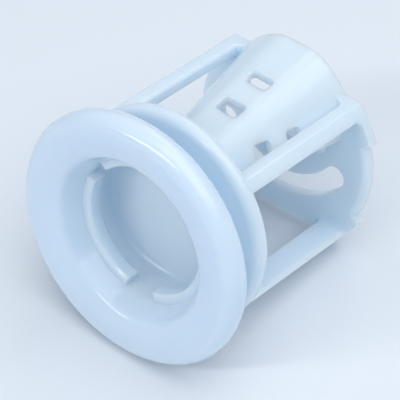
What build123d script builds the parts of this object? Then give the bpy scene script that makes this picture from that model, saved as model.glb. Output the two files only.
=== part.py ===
from build123d import *
import os
from math import acos, cos, pi, radians, sin, sqrt, tan

# Washer pump filter body: one moulding in white polypropylene, lying on its side.
# The axis runs along Y. The front mouth faces -Y, and +Z is up, with the end plate's
# flat foot below. The origin is on the axis, in the plane of the front lip's back face,
# which is the face that seats on the pump housing. All sizes are in millimetres.

# Front lip, a thick collar with a full-round rim and a dished front
lip_radius = 30.0
lip_thickness = 6.8
lip_shoulder_step = 2.4
lip_shoulder_drop = 1.3
lip_shoulder_round = 1.0
lip_crest_share = 0.5
lip_crest_reach_share = 0.6

# Cup behind the mouth, which takes the bayonet cap
cup_radius = 17.3
cup_wall = 2.0
cup_floor_y = 9.1
cup_floor_round = 2.0

# Bayonet tabs round the mouth, with a gap between each two for the cap's lugs
tab_count = 3
tab_gap_angle = 22.0
tab_first_gap = -90.0
tab_front_y = -0.5
tab_length = 3.8
tab_depth = 2.1
tab_bevel = 0.5

# Rear flange, which closes the seal groove and carries the cage
flange_radius = 25.8
flange_front_y = 7.0
flange_thickness = 4.0

# End plate with its flat top and foot, and side rims set back between the corner lugs
plate_front_y = 46.8
plate_thickness = 2.4
plate_top_cut = 7.1
plate_foot_cut = 4.7
plate_notch_height = 2.1
plate_notch_margin = 0.7
plate_notch_round = 0.8
plate_side_step = 1.8
plate_side_angle = 24.5
plate_side_round = 1.6

# Crescent slot in the lower half of the end plate
slot_centre_z = 8.3
slot_inner_radius = 15.9
slot_width = 5.2
slot_half_angle = 56.3

# Four struts between the flange and the end plate, set in a little from the flange's rim
cage_step = 0.1
strut_flat_width = {"upper": 2.9, "lower": 1.7}
strut_inner_height = {"upper": 3.5, "lower": 5.8}
strut_outer_height = {"upper": 2.4, "lower": 6.6}
strut_edge_round = 0.7
strut_root_round = 1.5
strut_root_depth = 2.0

# Chute, an arched and tapered tunnel that is open below and at the end plate
chute_wall = 1.8
chute_skirt = 0.4
chute_front_radius = 8.35
chute_front_centre_z = 8.6
chute_rear_radius = 16.1
chute_rear_centre_z = 9.6
chute_crown_half_width = 4.0
chute_crown_round_share = 0.5

# Mouth of the chute in the end plate
mouth_half_width = 12.0
mouth_sill_z = 2.3
mouth_corner_round = 1.2

# Windows in the chute, front one first: a row along the crown, and a row in each side wall
crown_window_front_y = (24.1, 33.8)
crown_window_length = (4.2, 3.6)
crown_window_width = 5.7
side_window_front_y = (23.5, 32.1)
side_window_length = (4.4, 3.6)
side_window_sill_z = (10.6, 11.1)
side_window_height = 4.7
window_round = 0.9

neck_radius = cup_radius + cup_wall
tab_radius = cup_radius - tab_depth
flange_back_y = flange_front_y + flange_thickness
plate_back_y = plate_front_y + plate_thickness
cage_radius = flange_radius - cage_step
plate_top_z = cage_radius - plate_top_cut
plate_foot_z = plate_foot_cut - cage_radius
plate_side_radius = cage_radius - plate_side_step
chute_foot_z = chute_front_centre_z - chute_skirt
past = 10.0
touch = 0.001


def at_y(y, sketch):
    """Place a sketch drawn in X and Z on the plane at this Y, facing +Y."""
    return Plane(origin=(0, y, 0), x_dir=(-1, 0, 0), z_dir=(0, 1, 0)) * mirror(sketch, about=Plane.YZ)


def edges_at(shape, y):
    """The edges that lie in the plane at this Y."""
    boxes = ((edge, edge.bounding_box()) for edge in shape.edges())
    return [edge for edge, box in boxes if abs(box.min.Y - y) < touch and abs(box.max.Y - y) < touch]


def smooth_face(corners):
    """A face through the corners, each given with how far its rounding reaches along its two sides."""
    count = len(corners)
    places = [Vector(across, along) for across, along, _ in corners]
    curves = []
    ends = []
    for i, (_, _, reach) in enumerate(corners):
        corner = places[i]
        before = (places[i - 1] - corner).normalized() * reach
        after = (places[(i + 1) % count] - corner).normalized() * reach
        ends.append((corner + before, corner + after))
        if reach:
            turn = pi - acos(before.dot(after) / reach**2)
            pull = 1 - 4 / 3 * tan(turn / 4) / tan(turn / 2)
            curves.append(Bezier(corner + before, corner + before * pull, corner + after * pull, corner + after))
    for i in range(count):
        start = ends[i - 1][1]
        end = ends[i][0]
        if (end - start).length > touch:
            curves.append(Line(start, end))
    return make_face(Curve() + curves)


def front_body():
    """Lip, neck, flange and cup, turned about Y from one half-section."""
    lip_round = lip_thickness / 2
    lip_core = lip_radius - lip_round
    flange_round = flange_thickness / 2
    shoulder = cup_radius + lip_shoulder_step
    crest = shoulder + (lip_core - shoulder) * lip_crest_share
    tab_back_y = tab_front_y + tab_length
    section = smooth_face(
        [
            (0, flange_back_y, 0),
            (flange_radius, flange_back_y, flange_round),
            (flange_radius, flange_front_y, flange_round),
            (neck_radius, flange_front_y, 0),
            (neck_radius, 0, 0),
            (lip_radius, 0, lip_round),
            (lip_radius, -lip_thickness, lip_round),
            (crest, -lip_thickness, (lip_core - crest) * lip_crest_reach_share),
            (shoulder, lip_shoulder_drop - lip_thickness, lip_shoulder_round),
            (cup_radius, tab_front_y, 0),
            (tab_radius + tab_bevel, tab_front_y, 0),
            (tab_radius, tab_front_y + tab_bevel, 0),
            (tab_radius, tab_back_y - tab_bevel, 0),
            (tab_radius + tab_bevel, tab_back_y, 0),
            (cup_radius, tab_back_y, 0),
            (cup_radius, cup_floor_y, cup_floor_round),
            (0, cup_floor_y, 0),
        ]
    )
    return revolve(section, Axis.Y)


def tab_gaps():
    """The wedges between the bayonet tabs, as deep as the cup's wall."""
    strip = Pos((tab_radius + cup_radius) / 2 - past / 2, tab_front_y + tab_length / 2) * Rectangle(
        cup_radius - tab_radius + past, tab_length
    )
    wedge = Rot(0, tab_gap_angle / 2, 0) * revolve(strip, Axis.Y, tab_gap_angle)
    return [Rot(0, -(tab_first_gap + 360 / tab_count * i), 0) * wedge for i in range(tab_count)]


def strut_inner_x(level):
    """Where the inner faces of the upper or lower struts lie."""
    flat_z = plate_top_z if level == "upper" else plate_foot_z
    return sqrt(cage_radius**2 - flat_z**2) - strut_flat_width[level]


def strut(level, side):
    """One strut of the cage, flush with the end plate's rim and flat."""
    sign = 1 if level == "upper" else -1
    flat_z = plate_top_z if level == "upper" else plate_foot_z
    inner_x = strut_inner_x(level)
    inner_z = flat_z - sign * strut_inner_height[level]
    outer_z = flat_z - sign * strut_outer_height[level]
    profile = make_face(
        Polyline((inner_x, flat_z), (cage_radius, flat_z), (cage_radius, outer_z), (inner_x, inner_z), close=True)
    )
    profile = profile & Circle(cage_radius)
    profile = fillet(profile.vertices(), strut_edge_round)
    if side == "left":
        profile = mirror(profile, about=Plane.YZ)
    start_y = flange_back_y - strut_root_depth
    return extrude(at_y(start_y, profile), plate_back_y - start_y)


def chute_section(radius, crown_half_width, centre_z, crown_z, foot_z):
    """Arch on straight sides, eased into a narrow flat along its crown."""
    shoulder = radius * cos(radians(45))
    outline = Curve() + [
        Polyline((-radius, centre_z), (-radius, foot_z), (radius, foot_z), (radius, centre_z)),
        ThreePointArc((radius, centre_z), (shoulder, centre_z + shoulder), (crown_half_width, crown_z)),
        Line((crown_half_width, crown_z), (-crown_half_width, crown_z)),
        ThreePointArc((-crown_half_width, crown_z), (-shoulder, centre_z + shoulder), (-radius, centre_z)),
    ]
    section = make_face(outline)
    crown_corners = section.vertices().group_by(Axis.Y)[-1]
    return fillet(crown_corners, radius * chute_crown_round_share)


def chute_solid(inset, foot_z, start_y, end_y):
    """The chute's taper between two places, offset inwards by the inset."""

    def section_at(y):
        share = (y - flange_back_y) / (plate_back_y - flange_back_y)
        outer = chute_front_radius + (chute_rear_radius - chute_front_radius) * share
        centre_z = chute_front_centre_z + (chute_rear_centre_z - chute_front_centre_z) * share
        rise = sqrt(outer**2 - chute_crown_half_width**2) - inset
        radius = outer - inset
        return at_y(y, chute_section(radius, sqrt(radius**2 - rise**2), centre_z, centre_z + rise, foot_z))

    return loft([section_at(start_y), section_at(end_y)])


def windows():
    """Rounded windows, cut down through the crown and across through both sides."""
    cutters = []
    for front_y, length in zip(crown_window_front_y, crown_window_length):
        window = RectangleRounded(crown_window_width, length, window_round)
        place = Pos(0, front_y + length / 2, chute_front_centre_z)
        cutters.append(place * extrude(window, 2 * chute_rear_radius))
    for front_y, length, sill_z in zip(side_window_front_y, side_window_length, side_window_sill_z):
        window = RectangleRounded(length, side_window_height, window_round)
        middle = (0, front_y + length / 2, sill_z + side_window_height / 2)
        across = Plane(origin=middle, x_dir=(0, 1, 0), z_dir=(1, 0, 0)) * window
        cutters.append(extrude(across, chute_rear_radius, both=True))
    return cutters


def plate_outline():
    """Round plate with a flat top, and a notch between the two feet at its flat bottom."""
    band = Pos(0, (plate_top_z + plate_foot_z) / 2) * Rectangle(2 * cage_radius, plate_top_z - plate_foot_z)
    outline = Circle(cage_radius) & band
    outline = fillet(outline.vertices(), strut_edge_round)
    notch_width = 2 * (strut_inner_x("lower") - plate_notch_margin)
    notch = Rectangle(notch_width, 2 * plate_notch_height)
    notch = fillet(notch.vertices().group_by(Axis.Y)[-1], plate_notch_round)
    return outline - Pos(0, plate_foot_z) * notch


def side_recesses():
    """What is taken off the plate's sides, down to a smaller rim that is rounded in front."""
    reach = 2 * cage_radius
    rise = reach * sin(radians(plate_side_angle))
    run = reach * cos(radians(plate_side_angle))
    wedges = [make_face(Polyline((0, 0), (side * run, rise), (side * run, -rise), close=True)) for side in (1, -1)]
    rim = smooth_face(
        [
            (0, plate_back_y + past, 0),
            (plate_side_radius, plate_back_y + past, 0),
            (plate_side_radius, plate_front_y, plate_side_round),
            (0, plate_front_y, 0),
        ]
    )
    kept = revolve(rim, Axis.Y)
    return [extrude(at_y(plate_front_y, wedge), plate_thickness + past / 2) - kept for wedge in wedges]


def crescent_slot():
    """Slot along an arc below the chute's mouth, with round ends."""
    middle = slot_inner_radius + slot_width / 2
    arc = CenterArc((0, slot_centre_z), middle, -90 - slot_half_angle, 2 * slot_half_angle)
    return SlotArc(arc, slot_width)


def mouth_opening():
    """Opening in the end plate, bounded above by the middle of the chute's wall."""
    height = chute_rear_centre_z + chute_rear_radius - mouth_sill_z
    window = Pos(0, mouth_sill_z + height / 2) * Rectangle(2 * mouth_half_width, height)
    window = fillet(window.vertices().group_by(Axis.Y)[0], mouth_corner_round)
    opening = extrude(at_y(plate_front_y - past, window), plate_thickness + 2 * past)
    return opening & chute_solid(chute_wall / 2, mouth_sill_z - past, plate_front_y - past, plate_back_y + past)


def cage():
    """The struts and the end plate: filleted on a wide slab, then trimmed to the plate's outline."""
    width = 4 * flange_radius
    slab = Pos(0, plate_front_y + plate_thickness / 2, 0) * Box(width, plate_thickness, width)
    frame = slab + [strut(level, side) for level in strut_flat_width for side in ("left", "right")]
    roots = [edge for edge in edges_at(frame, plate_front_y) if edge.length < flange_radius]
    frame = fillet(roots, strut_root_round)
    start_y = flange_back_y - strut_root_depth
    frame = frame & extrude(at_y(start_y, plate_outline()), plate_back_y - start_y)
    slot = extrude(at_y(plate_front_y - past, crescent_slot()), plate_thickness + 2 * past)
    return frame - slot - mouth_opening() - side_recesses()


def chute():
    """The chute's shell with its windows, from inside the flange to the end plate's back."""
    shell = chute_solid(0, chute_foot_z, flange_back_y - strut_root_depth / 2, plate_back_y)
    return shell - chute_solid(chute_wall, chute_foot_z - past, flange_back_y, plate_back_y + past) - windows()


def filter_body():
    return front_body() - tab_gaps() + cage() + chute()


os.makedirs("parts", exist_ok=True)
whole = filter_body()
print("filter_body:", len(whole.solids()), "solid, volume", round(whole.volume), "mm3")
export_step(whole, "parts/filter_body.step")
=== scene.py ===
from math import atan2, asin, cos, hypot, radians, sin

import bmesh
import bpy
from mathutils import Matrix, Vector


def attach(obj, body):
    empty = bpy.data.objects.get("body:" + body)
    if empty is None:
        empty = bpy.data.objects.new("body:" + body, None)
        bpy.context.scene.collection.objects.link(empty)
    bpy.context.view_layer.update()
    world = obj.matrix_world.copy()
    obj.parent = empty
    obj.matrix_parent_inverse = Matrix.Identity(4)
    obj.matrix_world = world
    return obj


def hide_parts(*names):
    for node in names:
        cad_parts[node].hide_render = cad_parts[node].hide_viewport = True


MM = 0.001

# The camera, measured from the ellipses and edges in the photograph, in the part's frame
CAMERA_AZIMUTH = 36.42
CAMERA_ELEVATION = 38.41
CAMERA_ROLL = 6.27
CAMERA_PLACE = (265.05, -340.58, 352.06)
CAMERA_LENS = 235.4
SENSOR_WIDTH = 36.0

# What the part rests on, by Y and Z: the front lip's round rim and the back edge of the end plate's feet
LIP_RIM_CENTRE = (-3.4, -26.6)
LIP_RIM_RADIUS = 3.4
FOOT_EDGE = (49.2, -21.0)

# The bayonet tabs in the mouth, with the solid's own radii and depths
CUP_RADIUS = 17.3
TAB_RADIUS = 15.2
TAB_FRONT = -0.5
TAB_BACK = 3.3
TAB_BEVEL = 0.5

# The gaps between the tabs, each from one angle to another, from +X towards +Z, as the photograph has them
TAB_GAPS = ((-101.2, -74.6), (18.8, 41.2), (138.8, 159.4))

# How far the new ring of tabs runs into the cup's wall, and stands clear of the solid's own facets
WALL_OVERLAP = 0.3
FACET_CLEARANCE = 0.03

# How far a gap's cut starts in front of the tabs and inside them, and the degrees in one step of a turn
CUT_MARGIN = 1.0
TURN_STEP = 2.0

# An edge sharper than this stays a crease, and corners of two meshes closer than this are the same one
CREASE_ANGLE = 35.0
SAME_PLACE = 0.0001

# The plastic: distance between cloudy patches, depth that light reaches, and softness of the moulded edges
CLOUD_SPACING = 22.2
LIGHT_DEPTH = 4.0
EDGE_SOFTNESS = 0.25

# The floor's side in metres
FLOOR_SIZE = 6.0


def colour(text):
    """An sRGB hex colour as linear red, green, blue and alpha."""
    channels = [int(text[i : i + 2], 16) / 255 for i in (1, 3, 5)]
    linear = [c / 12.92 if c <= 0.04045 else ((c + 0.055) / 1.055) ** 2.4 for c in channels]
    return (*linear, 1.0)


def add(tree, kind, values=None, **settings):
    """A shader node with its settings, its input values and its links."""
    node = tree.nodes.new(kind)
    for name, value in settings.items():
        setattr(node, name, value)
    for name, value in (values or {}).items():
        if isinstance(value, bpy.types.NodeSocket):
            tree.links.new(value, node.inputs[name])
        else:
            node.inputs[name].default_value = value
    return node


def new_material(name):
    """An empty node material and its output."""
    material = bpy.data.materials.new(name)
    material.use_nodes = True
    tree = material.node_tree
    tree.nodes.clear()
    return material, tree, add(tree, "ShaderNodeOutputMaterial")


def natural_polypropylene():
    """Natural polypropylene as moulded: milky, with a soft gloss and light inside its thin walls."""
    material, tree, output = new_material("natural_polypropylene")
    place = add(tree, "ShaderNodeTexCoord").outputs["Object"]
    cloud = add(
        tree,
        "ShaderNodeTexNoise",
        {"Vector": place, "Scale": 1 / (CLOUD_SPACING * MM), "Detail": 2.0, "Roughness": 0.5},
    )
    tone = add(tree, "ShaderNodeMix", {"Factor": cloud.outputs["Fac"]}, data_type="RGBA")
    tone.inputs["A"].default_value = colour("#DEEBF7")
    tone.inputs["B"].default_value = colour("#D8E7F5")
    gloss = add(
        tree,
        "ShaderNodeMapRange",
        {"Value": cloud.outputs["Fac"], "From Min": 0.3, "From Max": 0.7, "To Min": 0.12, "To Max": 0.17},
    )
    soft_edges = add(tree, "ShaderNodeBevel", {"Radius": EDGE_SOFTNESS * MM}, samples=6)
    skin = add(
        tree,
        "ShaderNodeBsdfPrincipled",
        {
            "Base Color": tone.outputs["Result"],
            "Roughness": gloss.outputs["Result"],
            "IOR": 1.49,
            "Subsurface Weight": 1.0,
            "Subsurface Radius": (1.0, 1.05, 1.15),
            "Subsurface Scale": LIGHT_DEPTH * MM,
            "Normal": soft_edges.outputs["Normal"],
        },
    )
    tree.links.new(skin.outputs["BSDF"], output.inputs["Surface"])
    return material


def pale_paper():
    """Uncoated paper: pale and matt, so that it shows the part's shadow and no highlight of its own."""
    material, tree, output = new_material("pale_paper")
    skin = add(tree, "ShaderNodeBsdfPrincipled", {"Base Color": colour("#E9EDF1"), "Roughness": 0.9})
    tree.links.new(skin.outputs["BSDF"], output.inputs["Surface"])
    return material


def turned(name, section, spans):
    """A section of radius and depth spun about the axis through spans of angles, as wedges or a ring."""
    shape = bmesh.new()
    for start, end in spans:
        whole = end - start == 360
        first = Matrix.Rotation(radians(start), 3, (0, -1, 0))
        corners = [shape.verts.new(first @ Vector((radius, depth, 0)) * MM) for radius, depth in section]
        face = shape.faces.new(corners)
        spun = corners + list(face.edges)
        if whole:
            shape.faces.remove(face)
        else:
            spun.append(face)
        bmesh.ops.spin(
            shape,
            geom=spun,
            cent=(0, 0, 0),
            axis=(0, -1, 0),
            angle=radians(end - start),
            steps=round((end - start) / TURN_STEP),
            use_merge=whole,
        )
    bmesh.ops.recalc_face_normals(shape, faces=shape.faces)
    mesh = bpy.data.meshes.new(name)
    shape.to_mesh(mesh)
    shape.free()
    piece = bpy.data.objects.new(name, mesh)
    bpy.context.scene.collection.objects.link(piece)
    return piece


def tab_tools():
    """A whole ring over the solid's tabs, and the wedges that cut its gaps anew."""
    front = TAB_FRONT - FACET_CLEARANCE
    back = TAB_BACK + FACET_CLEARANCE
    inner = TAB_RADIUS - FACET_CLEARANCE
    root = CUP_RADIUS + WALL_OVERLAP
    tab = [
        (root, front),
        (inner + TAB_BEVEL, front),
        (inner, front + TAB_BEVEL),
        (inner, back - TAB_BEVEL),
        (inner + TAB_BEVEL, back),
        (root, back),
    ]
    gap_front = front - CUT_MARGIN
    gap_back = back + FACET_CLEARANCE
    gap_inner = inner - CUT_MARGIN
    gap_outer = CUP_RADIUS + FACET_CLEARANCE
    gap = [
        (gap_outer, gap_front),
        (gap_inner, gap_front),
        (gap_inner, gap_back),
        (gap_outer, gap_back),
    ]
    ring = turned("tab_ring", tab, [(0, 360)])
    gaps = turned("tab_gaps", gap, TAB_GAPS)
    return ("UNION", ring), ("DIFFERENCE", gaps)


def place_key(place):
    """A corner's place in steps of the smallest distance that tells two corners apart."""
    return tuple(round(value / (SAME_PLACE * MM)) for value in place)


def keep_shading(cut, solid):
    """Shade the faces that the cut left alone as on the solid, and the new ones by their own edges."""
    stale = cut.attributes.get("custom_normal")
    if stale:
        cut.attributes.remove(stale)
    cut.shade_smooth()
    cut.set_sharp_from_angle(angle=radians(CREASE_ANGLE))
    known = {}
    for loop, normal in zip(solid.loops, solid.corner_normals):
        key = place_key(solid.vertices[loop.vertex_index].co)
        known.setdefault(key, []).append(normal.vector.copy())
    normals = [normal.vector.copy() for normal in cut.corner_normals]
    for polygon in cut.polygons:
        for corner in polygon.loop_indices:
            key = place_key(cut.vertices[cut.loops[corner].vertex_index].co)
            nearest = max(known.get(key, ()), key=polygon.normal.dot, default=None)
            if nearest and nearest.dot(polygon.normal) > cos(radians(CREASE_ANGLE)):
                normals[corner] = nearest
    cut.normals_split_custom_set(normals)


def moulded_body(solid, finish):
    """The solid with the gaps between its tabs moved to where the photograph has them."""
    piece = bpy.data.objects.new("moulded_body", solid.data.copy())
    bpy.context.scene.collection.objects.link(piece)
    tools = tab_tools()
    for operation, tool in tools:
        step = piece.modifiers.new(tool.name, "BOOLEAN")
        step.operation = operation
        step.object = tool
        step.solver = "EXACT"
    bpy.context.view_layer.update()
    made = piece.evaluated_get(bpy.context.evaluated_depsgraph_get())
    cut = bpy.data.meshes.new_from_object(made)
    piece.modifiers.clear()
    keep_shading(cut, solid.data)
    piece.data = cut
    for _, tool in tools:
        bpy.data.objects.remove(tool)
    cut.materials.clear()
    cut.materials.append(finish)
    for polygon in cut.polygons:
        polygon.material_index = 0
    return piece


def resting_plane():
    """How far the part leans back at rest, the floor's normal, and its distance from the origin."""
    run = FOOT_EDGE[0] - LIP_RIM_CENTRE[0]
    rise = FOOT_EDGE[1] - LIP_RIM_CENTRE[1]
    lean = atan2(rise, run) + asin(LIP_RIM_RADIUS / hypot(run, rise))
    up = Vector((0, -sin(lean), cos(lean)))
    return lean, up, up.dot(Vector((0, *FOOT_EDGE))) * MM


def add_floor(lean, up, distance):
    bpy.ops.mesh.primitive_plane_add(size=FLOOR_SIZE, location=up * distance, rotation=(lean, 0, 0))
    floor = bpy.context.object
    floor.name = "floor"
    floor.data.materials.append(pale_paper())


def away_from_part(azimuth, elevation):
    """The direction from the part at an azimuth from its front towards its right and an elevation."""
    return Vector((sin(azimuth) * cos(elevation), -cos(azimuth) * cos(elevation), sin(elevation)))


def add_light(name, lean, direction, distance, size, power, turn=0):
    """A soft light by azimuth and elevation above the floor, in metres and watts, with its own turn."""
    azimuth, elevation = (radians(angle) for angle in direction)
    away = Matrix.Rotation(lean, 3, "X") @ away_from_part(azimuth, elevation)
    light = bpy.data.lights.new(name, "AREA")
    light.shape = "RECTANGLE"
    light.size, light.size_y = size
    light.energy = power
    lamp = bpy.data.objects.new(name, light)
    bpy.context.scene.collection.objects.link(lamp)
    facing = away.to_track_quat("Z", "Y").to_matrix() @ Matrix.Rotation(radians(turn), 3, "Z")
    lamp.matrix_world = Matrix.Translation(away * distance) @ facing.to_4x4()


def add_world(tone, strength):
    world = bpy.data.worlds.new("room")
    bpy.context.scene.world = world
    world.use_nodes = True
    back = world.node_tree.nodes["Background"]
    back.inputs["Color"].default_value = colour(tone)
    back.inputs["Strength"].default_value = strength


def add_camera():
    azimuth, elevation, roll = (radians(a) for a in (CAMERA_AZIMUTH, CAMERA_ELEVATION, CAMERA_ROLL))
    right = Vector((cos(azimuth), sin(azimuth), 0))
    back = away_from_part(azimuth, elevation)
    up = back.cross(right)
    turned_right = cos(roll) * right + sin(roll) * up
    turned_up = cos(roll) * up - sin(roll) * right
    turn = Matrix((turned_right, turned_up, back)).transposed()
    data = bpy.data.cameras.new("camera")
    data.lens = CAMERA_LENS
    data.sensor_width = SENSOR_WIDTH
    camera = bpy.data.objects.new("camera", data)
    bpy.context.scene.collection.objects.link(camera)
    camera.matrix_world = Matrix.Translation(Vector(CAMERA_PLACE) * MM) @ turn.to_4x4()
    bpy.context.scene.camera = camera


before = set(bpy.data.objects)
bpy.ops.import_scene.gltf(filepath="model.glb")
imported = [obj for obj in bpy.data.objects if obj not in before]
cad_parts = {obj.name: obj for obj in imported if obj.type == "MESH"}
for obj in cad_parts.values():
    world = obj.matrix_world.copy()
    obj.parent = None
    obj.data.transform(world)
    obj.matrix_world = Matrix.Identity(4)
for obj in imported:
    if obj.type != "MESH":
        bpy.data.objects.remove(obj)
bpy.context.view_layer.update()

body = moulded_body(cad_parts["filter_body"], natural_polypropylene())
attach(body, "root")
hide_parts("filter_body")

lean, up, floor_distance = resting_plane()
add_floor(lean, up, floor_distance)
add_world("#CFE2F8", strength=0.39)

# The wide top light is the main one, the long narrow front one draws the streaks on the lip and in the cup,
# and the back one lights the cage from behind
add_light("top", lean, direction=(92, 68), distance=0.9, size=(1.0, 1.0), power=6.2)
add_light("front", lean, direction=(-20, 35), distance=0.9, size=(0.75, 0.08), power=2.1, turn=45)
add_light("back", lean, direction=(-165, 48), distance=1.0, size=(0.5, 0.5), power=1.1)
add_camera()
bpy.context.scene.view_settings.view_transform = "Standard"
